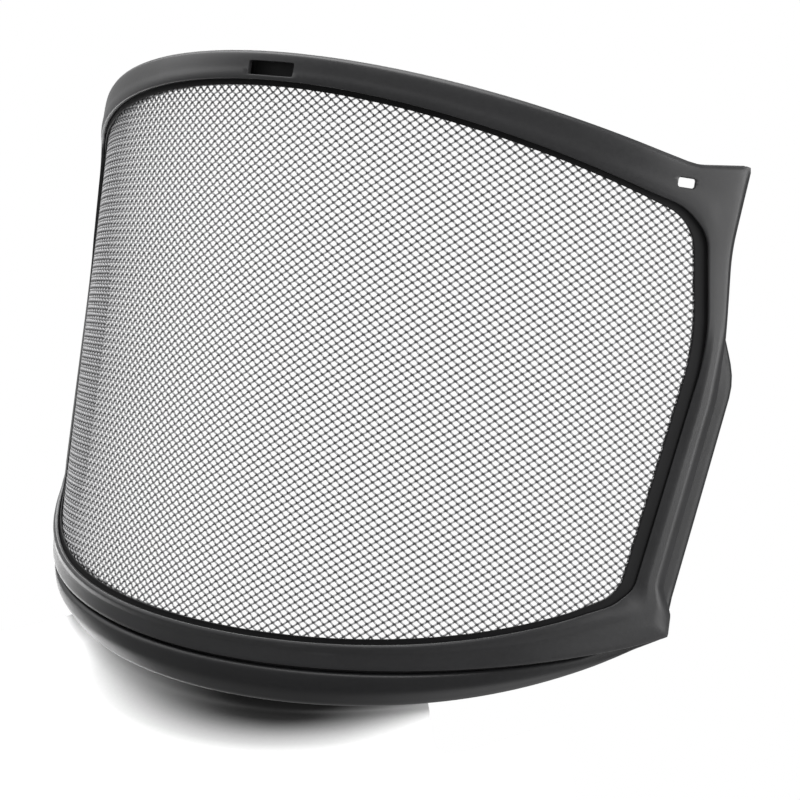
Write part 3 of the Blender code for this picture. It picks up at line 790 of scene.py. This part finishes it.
# =====================================================================================
# Edge strip
# =====================================================================================
def build_strip():
    """A thin band round the opening with a shallow hollow along its front."""
    sections = []
    edge = (STRIP_REAR, STRIP_FRONT)
    for inner, outer in zip(OPENING, STRIP_OUT):
        width = float(np.linalg.norm(outer - inner))
        front = [(u * width, STRIP_FRONT - 0.10 * math.sin(math.pi * min(u / 0.8, 1.0)))
                 for u in np.linspace(0.12, 0.88, 9)]
        rear = [(u * width, STRIP_REAR) for u in np.linspace(0.8, 0.2, 4)]
        section = bar_section(width, 0.2, edge, edge, front, rear, steps=3)
        sections.append(section_to_points(inner, outer, section))
    return closed_band("opening_strip", sections, STRIP_MAT)


# =====================================================================================
# Clamp pins
# =====================================================================================
def pin_profile():
    """(radius, n) from the dimpled middle of the head, round its rim, to the shank's tip."""
    head_front = BACK_REAR - GAP
    head_rear = head_front - PIN_HEAD_T
    head_r, shank_r = PIN_HEAD_D / 2, PIN_D / 2
    rim_r, rim_depth = 0.75, 0.55
    profile = [(0.0, head_rear + 0.16), (0.42, head_rear + 0.16), (0.55, head_rear + 0.10),
               (0.62, head_rear + 0.01), (0.75, head_rear)]
    for u in np.linspace(0.0, 1.0, 7):
        angle = u * math.pi / 2
        profile.append((head_r - rim_r + rim_r * math.sin(angle),
                        head_rear + rim_depth * (1 - math.cos(angle)) + 0.02))
    return profile + [
        (head_r, head_front - 0.10), (head_r - 0.10, head_front),
        (shank_r + 0.12, head_front), (shank_r, head_front + 0.12),
        (shank_r, BEZEL_REAR + 0.25), (shank_r - 0.2, BEZEL_REAR + 0.45),
        (0.0, BEZEL_REAR + 0.45)]


def build_pin(name, s, t):
    bm = bmesh.new()
    verts = [bm.verts.new((x * MM, 0.0, z * MM)) for x, z in pin_profile()]
    edges = [bm.edges.new(pair) for pair in zip(verts[:-1], verts[1:])]
    bmesh.ops.spin(bm, geom=verts + edges, cent=(0, 0, 0), axis=(0, 0, 1),
                   angle=2 * math.pi, steps=40, use_duplicate=False)
    bmesh.ops.remove_doubles(bm, verts=bm.verts[:], dist=0.000004)
    bmesh.ops.recalc_face_normals(bm, faces=bm.faces[:])
    bmesh.ops.transform(bm, matrix=local_frame(s, t), verts=bm.verts[:])
    ob = object_from_bmesh(name, bm)
    ob.data.materials.append(PIN_MAT)
    shade(ob.data, sharp=40.0)
    return ob


# =====================================================================================
# Woven wire cloth: two families of crimped wires, over and under at every crossing
# =====================================================================================
WIRE_D = 0.53
WIRE_SIDES = 6
CRIMP = 0.14                                 # how far a wire's middle leaves the cloth's middle
CRIMP_FLAT = 0.20                            # half length of a crimp's flat, in pitches

# wire numbers of the two families; the wires cross where both numbers end in a half
WIRES_I = np.arange(-104.5, 64.0)
WIRES_J = np.arange(-132.5, 36.0)

# the lattice of crossings, in units of 1.6 mm
LATTICE_UNIT = 1.6
LATTICE_ACROSS, LATTICE_UP = 69.0, 48.0      # where its own axes start
LATTICE_SPAN = 70.0                          # distance over which the changes below act
NARROWING = (0.079, 0.0548)                  # linear and square change of the width
HEIGHT = 0.6907                              # height of a cell against its width
HEIGHT_CHANGE = (0.0245, 0.0223)             # linear growth and square loss of the height
SLANT, LATTICE_TURN = 0.0228, 0.0319         # shear, and turn in radians
LATTICE_S = 1.5                              # shift along s, in mm


def lattice(i, j):
    """Flat-sheet (s, t) where wire i of one family meets wire j of the other."""
    u = i + j + LATTICE_ACROSS
    v = LATTICE_UP - i + j
    z = u / LATTICE_SPAN
    x = u * (1 - NARROWING[0] * z / 2 - NARROWING[1] * z * z / 3)
    y = v * HEIGHT * (1 + HEIGHT_CHANGE[0] * z - HEIGHT_CHANGE[1] * z * z) - SLANT * u
    cos, sin = math.cos(LATTICE_TURN), math.sin(LATTICE_TURN)
    return (x * cos - y * sin) * LATTICE_UNIT + LATTICE_S, (x * sin + y * cos) * LATTICE_UNIT


SHEET_POLY = np.concatenate([SHEET_OUT, (SHEET_OUT * np.array([-1.0, 1.0]))[-2:0:-1]])


def inside_sheet(x, y):
    result = np.zeros(x.shape, bool)
    for (x0, y0), (x1, y1) in zip(SHEET_POLY, np.roll(SHEET_POLY, -1, 0)):
        if y0 != y1:
            result ^= ((y0 > y) != (y1 > y)) & (x < (x1 - x0) * (y - y0) / (y1 - y0) + x0)
    return result


def wire_family(is_warp):
    """The unbroken runs of one family's wires, as (s, t, side, along).

    side is +1 where the wire passes in front and -1 behind; along counts pitches.
    """
    wires, crossed = (WIRES_I, WIRES_J) if is_warp else (WIRES_J, WIRES_I)
    along = (crossed[:, None] + np.array([-CRIMP_FLAT, CRIMP_FLAT])).ravel()
    crossing = np.repeat(crossed, 2)
    runs = []
    for wire in wires:
        number = np.full_like(along, wire)
        s, t = lattice(number, along) if is_warp else lattice(along, number)
        side = np.where(((wire + 0.5) + (crossing + 0.5)) % 2 < 0.5, 1.0, -1.0)
        if not is_warp:
            side = -side
        kept = np.flatnonzero(inside_sheet(s, t))
        for run in np.split(kept, np.flatnonzero(np.diff(kept) > 1) + 1):
            if len(run) >= 4:
                runs.append((s[run], t[run], side[run], along[run]))
    return runs


def wire_rings(s, t, side):
    """Rings of vertices round a wire's middle line."""
    points = place(s, t, side * CRIMP)
    tangent = np.gradient(points, axis=0)
    tangent /= np.linalg.norm(tangent, axis=1)[:, None]
    across = np.cross(tangent, -axes_at(s, t)[2])
    across /= np.linalg.norm(across, axis=1)[:, None]
    out = np.cross(across, tangent)
    angle = (np.arange(WIRE_SIDES) * 2 * math.pi / WIRE_SIDES + math.pi / WIRE_SIDES)[:, None]
    return points[:, None] + WIRE_D / 2 * MM * (np.cos(angle) * out[:, None]
                                                + np.sin(angle) * across[:, None])


def wire_object(name, runs):
    verts, quads, ends, crowns, places, base = [], [], [], [], [], 0
    for s, t, side, along in runs:
        verts.append(wire_rings(s, t, side).reshape(-1, 3))
        crowns.append(np.repeat((side + 1) / 2, WIRE_SIDES))
        places.append(np.repeat(along, WIRE_SIDES))
        index = base + np.arange(len(s) * WIRE_SIDES).reshape(-1, WIRE_SIDES)
        a, b = index[:-1], index[1:]
        quads.append(np.stack([a, np.roll(a, -1, 1), np.roll(b, -1, 1), b], -1).reshape(-1, 4))
        # each flat six-sided end is two quads
        for end in (index[0][::-1], index[-1]):
            ends += [end[:4], end[[0, 3, 4, 5]]]
        base += index.size
    ob = quad_object(name, np.concatenate(verts), np.concatenate(quads + [ends]), WIRE_MAT)
    ob.data.shade_smooth()
    for label, values in (("crown", crowns), ("run", places)):
        attribute = ob.data.attributes.new(label, 'FLOAT', 'POINT')
        attribute.data.foreach_set("value", np.concatenate(values).astype(np.float32))
    return ob


def build_cloth():
    obs = []
    for family, is_warp in (("warp", True), ("weft", False)):
        runs = wire_family(is_warp)
        middle = len(runs) // 2
        obs.append(wire_object("wire_%s_a" % family, runs[:middle]))
        obs.append(wire_object("wire_%s_b" % family, runs[middle:]))
    return obs


# =====================================================================================
# Put the object together
# =====================================================================================
def adopt(ob, node):
    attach(ob, "root")
    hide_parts(node)


bezel = build_bezel()
adopt(bezel, "front_bezel")
back = build_back()
adopt(back, "back_frame")
adopt(build_strip(), "edge_strip")
for wires in build_cloth():
    adopt(wires, "wire_screen")
for number, (s, t) in enumerate(pin_places(), 1):
    adopt(build_pin("pin_%02d" % number, s, t), "clamp_pin_%02d" % number)

# =====================================================================================
# Camera: its axes and place
# =====================================================================================
RIGHT = Vector((0.763316, 0.628577, 0.149130))
UP = Vector((-0.130531, -0.076017, 0.988526))
BACK = Vector((0.632701, -0.774024, 0.024024))          # from the object to the camera
CAMERA_AT = Vector((0.5273548, -0.5747358, -0.0664114))


def build_camera():
    data = bpy.data.cameras.new("camera")
    data.lens = 126.0
    data.sensor_width = 36.0
    data.clip_start, data.clip_end = 0.01, 20.0
    camera = new_object("camera", data)
    matrix = Matrix((RIGHT, UP, BACK)).transposed().to_4x4()
    matrix.translation = CAMERA_AT
    camera.matrix_world = matrix
    bpy.context.scene.camera = camera


# =====================================================================================
# Floor, in metres: a tilted board that the chin lip and both jaw tips stand on
# =====================================================================================
FRONT_Y, REAR_Y = 0.02, 0.04                 # vertices in front of one, and behind the other
MAX_TILT = math.radians(50.0)
FLOOR_REACH = 0.7                            # how far the board runs to the front
BEHIND = 0.011                               # how far it runs on behind the chin's line
TRIM, TRIM_FROM, TRIM_TO = 0.045, 0.058, 0.092   # less of that towards the sides
SIDE_SLOPE = 1.1                             # its rear edge's slope beyond the jaws


def rest_plane():
    """Tilt at which the front and rear feet touch together, the normal and the height."""
    points = []
    for ob in (bezel, back):
        coords = np.zeros(len(ob.data.vertices) * 3, np.float32)
        ob.data.vertices.foreach_get("co", coords)
        points.append(coords.reshape(-1, 3))
    points = np.concatenate(points)
    front, rear = points[points[:, 1] < FRONT_Y], points[points[:, 1] > REAR_Y]
    low, high = 0.0, MAX_TILT
    for _ in range(40):
        tilt = 0.5 * (low + high)
        normal = np.array([0.0, -math.sin(tilt), math.cos(tilt)])
        if (front @ normal).min() < (rear @ normal).min():
            low = tilt
        else:
            high = tilt
    return tilt, normal, (points @ normal).min() - 0.0001


TILT, FLOOR_NORMAL, FLOOR_HEIGHT = rest_plane()
REARWARD = np.array([0.0, math.cos(TILT), math.sin(TILT)])   # along the board, towards +Y


def chin_shade(nodes, x, y):
    """Painted shadow that gathers along the chin's line and dies away in front of it."""
    middle, reach_right, reach_left, side_power = 0.029, 0.048, 0.082, 0.8
    line_middle, line_bow, line_y = 0.005, 5.0, -0.094
    depth, depth_power = 0.0165, 2.5
    side = nodes.math('SUBTRACT', x, middle)
    side = nodes.math('MAXIMUM', nodes.math('MULTIPLY', side, 1.0 / reach_right),
                      nodes.math('MULTIPLY', side, -1.0 / reach_left))
    side = nodes.math('MULTIPLY', side, side)
    across = nodes.math('MAXIMUM', nodes.math('SUBTRACT', 1.0, side), 0.0)
    across = nodes.math('POWER', across, side_power)
    bow = nodes.math('SUBTRACT', x, line_middle)
    bow = nodes.math('MULTIPLY', nodes.math('MULTIPLY', bow, bow), line_bow)
    ahead = nodes.math('SUBTRACT', nodes.math('ADD', bow, line_y), y)
    ahead = nodes.math('MAXIMUM', ahead, 0.0)
    fade = nodes.math('POWER', nodes.math('MULTIPLY', ahead, 1.0 / depth), depth_power)
    fade = nodes.math('DIVIDE', 1.0, nodes.math('ADD', 1.0, fade))
    fade = nodes.math('MULTIPLY', fade,
                      nodes.remap(ahead, span=(0.016, 0.034), to=(1.0, 0.0)))
    return nodes.math('MULTIPLY', across, fade)


def floor_material():
    """Pale matt board with painted shadow, darker where the object hides it from a light from
    behind and from the camera's right, and along the chin's line; seen from underneath it is not
    there."""
    material, nodes, shader = new_material("floor_pale")
    to_light = (Vector(FLOOR_NORMAL) + RIGHT * 0.75 - BACK * 0.35).normalized()
    light_axis = nodes.add("CombineXYZ", dict(enumerate(to_light)))
    occlusion = nodes.add("AmbientOcclusion",
                          {"Distance": 0.050, "Normal": light_axis.outputs[0]}, samples=32)
    open_share = 0.5 * (1.0 + float(Vector(FLOOR_NORMAL) @ to_light))
    contrast, most_shade = 1.8, 0.985
    lit = nodes.remap(occlusion.outputs["AO"], span=(open_share * 0.52, open_share * 0.95),
                      to=(0.0, 1.0))
    lit = nodes.math('POWER', lit, contrast)

    coords = nodes.coords()
    x = nodes.dot(coords, (1.0, 0.0, 0.0))
    near = chin_shade(nodes, x, nodes.dot(coords, REARWARD))
    shade_level = nodes.remap(lit, span=(0.0, 1.0), to=(1.10, 0.95))
    dim = nodes.math('MULTIPLY', shade_level, near)
    lit = nodes.math('SUBTRACT', 1.0, nodes.math('MINIMUM', dim, most_shade))

    # fine tooth of the board, and a paler tone towards both sides: painted light that lifts the
    # object's soft shadow on the board away from the chin
    painted_light_middle = 0.008
    tooth_and_painted_light = nodes.remap(nodes.noise(coords, scale=900.0, detail=3.0, roughness=0.6),
                        to=(0.985, 1.015))
    outer = nodes.math('ABSOLUTE', nodes.math('SUBTRACT', x, painted_light_middle))
    tooth_and_painted_light = nodes.math('MULTIPLY', tooth_and_painted_light,
                       nodes.remap(outer, span=(0.046, 0.064), to=(1.0, 1.15)))
    tone = nodes.math('MULTIPLY', nodes.remap(lit, span=(0.0, 1.0), to=(0.005, 0.70)), tooth_and_painted_light)
    grey = nodes.add("CombineColor", {0: tone, 1: tone, 2: tone})
    nodes.feed(shader, {"Base Color": grey.outputs[0], "Roughness": 0.9,
                        "Specular IOR Level": 0.0})
    clear = nodes.add("BsdfTransparent")
    backfacing = nodes.add("NewGeometry").outputs["Backfacing"]
    surface = nodes.add("MixShader", {0: backfacing, 1: shader.outputs[0],
                                      2: clear.outputs[0]})
    nodes.feed(material.node_tree.nodes["Material Output"], {"Surface": surface.outputs[0]})
    return material


def build_floor():
    """The board's rear edge follows the chin's line a little way behind it."""
    foot = FLOOR_NORMAL * FLOOR_HEIGHT
    chin = BACK_OUT[AT_JAW * FINE + 8:]
    line = place(chin[:, 0], chin[:, 1], BACK_N - 1.5)[::-1]
    line_x, line_y = line[:, 0], line @ REARWARD
    reach, jaw_y = float(line_x.max()), float(line_y[np.argmax(line_x)])

    def rear_edge(x):
        x = abs(x)
        behind = BEHIND - TRIM * float(ramp(x, TRIM_FROM, TRIM_TO))
        if x <= reach:
            return float(np.interp(x, line_x, line_y)) + behind
        return jaw_y + behind - SIDE_SLOPE * (x - reach)

    xs = np.concatenate([np.linspace(-0.6, -0.14, 8), np.linspace(-0.125, 0.125, 61),
                         np.linspace(0.14, 0.6, 8)])
    bm = bmesh.new()
    rows = []
    for u in np.linspace(0.0, 1.0, 14):
        rows.append([])
        for x in xs:
            y = -FLOOR_REACH + (rear_edge(x) + FLOOR_REACH) * u
            rows[-1].append(bm.verts.new(Vector(foot + REARWARD * y + np.array([x, 0, 0]))))
    for a, b in zip(rows[:-1], rows[1:]):
        for i in range(len(xs) - 1):
            bm.faces.new((a[i], a[i + 1], b[i + 1], b[i]))
    ob = object_from_bmesh("floor", bm)
    ob.data.materials.append(floor_material())
    ob.visible_glossy = False


# =====================================================================================
# Light
# =====================================================================================
def build_world():
    """Even white, except that glossy surfaces see it brighter behind and below the object."""
    world = bpy.data.worlds.new("studio")
    bpy.context.scene.world = world
    world.use_nodes = True
    nodes = Nodes(world.node_tree)
    path = nodes.add("LightPath").outputs
    direction = nodes.coords("Generated")
    to_camera = nodes.dot(direction, BACK)
    glossy = nodes.remap(to_camera, span=(-0.55, 0.30), to=(0.36, 0.095))
    glossy = nodes.math('ADD', glossy,
                        nodes.remap(to_camera, span=(-1.0, -0.45), to=(0.40, 0.0)))
    to_low_right = nodes.dot(direction, (RIGHT * 0.45 - UP * 0.89).normalized())
    glossy = nodes.math('ADD', glossy,
                        nodes.remap(to_low_right, span=(0.70, 1.0), to=(0.0, 1.5)))
    plain_strength = 1.0
    plain = nodes.math('MAXIMUM', path["Is Camera Ray"], path["Is Diffuse Ray"])
    other = nodes.math('SUBTRACT', 1.0, plain)
    total = nodes.math('ADD', nodes.math('MULTIPLY', plain, plain_strength),
                       nodes.math('MULTIPLY', other, glossy))
    nodes.feed(world.node_tree.nodes["Background"],
               {"Strength": total, "Color": (1, 1, 1, 1)})
    world.cycles.sampling_method = 'NONE'


def softbox(name, direction, distance, size, power):
    """Rectangular lamp that looks at the object's middle from a direction."""
    data = bpy.data.lights.new(name, 'AREA')
    data.shape = 'RECTANGLE'
    data.size, data.size_y = size
    data.energy = power
    ob = new_object(name, data)
    direction = direction.normalized()
    ob.location = MIDDLE + direction * distance
    ob.rotation_mode = 'QUATERNION'
    ob.rotation_quaternion = direction.to_track_quat('Z', 'Y')
    return ob


build_floor()
build_camera()
build_world()
softbox("key_top", UP * 1.0 - RIGHT * 0.25 + BACK * 0.15,
        distance=1.1, size=(1.2, 0.9), power=17.0)
softbox("fill_right", RIGHT * 0.85 + BACK * 0.75 + UP * 0.15,
        distance=1.0, size=(0.45, 1.0), power=9.0)
softbox("rear", UP * 0.9 - BACK * 0.75 - RIGHT * 0.2,
        distance=1.1, size=(0.8, 0.6), power=9.0)
softbox("rim_left", -RIGHT * 0.85 - BACK * 0.35 + UP * 0.75,
        distance=1.0, size=(0.5, 0.9), power=2.3)
rim_low = softbox("rim_low", -RIGHT * 0.46 - UP * 0.28 - BACK * 0.84,
                  distance=1.0, size=(0.65, 0.45), power=3.2)
rim_low.visible_camera = False

view = bpy.context.scene.view_settings
view.view_transform = 'Standard'
view.look = 'None'
view.exposure = 0.0
view.gamma = 1.0

bpy.context.view_layer.update()
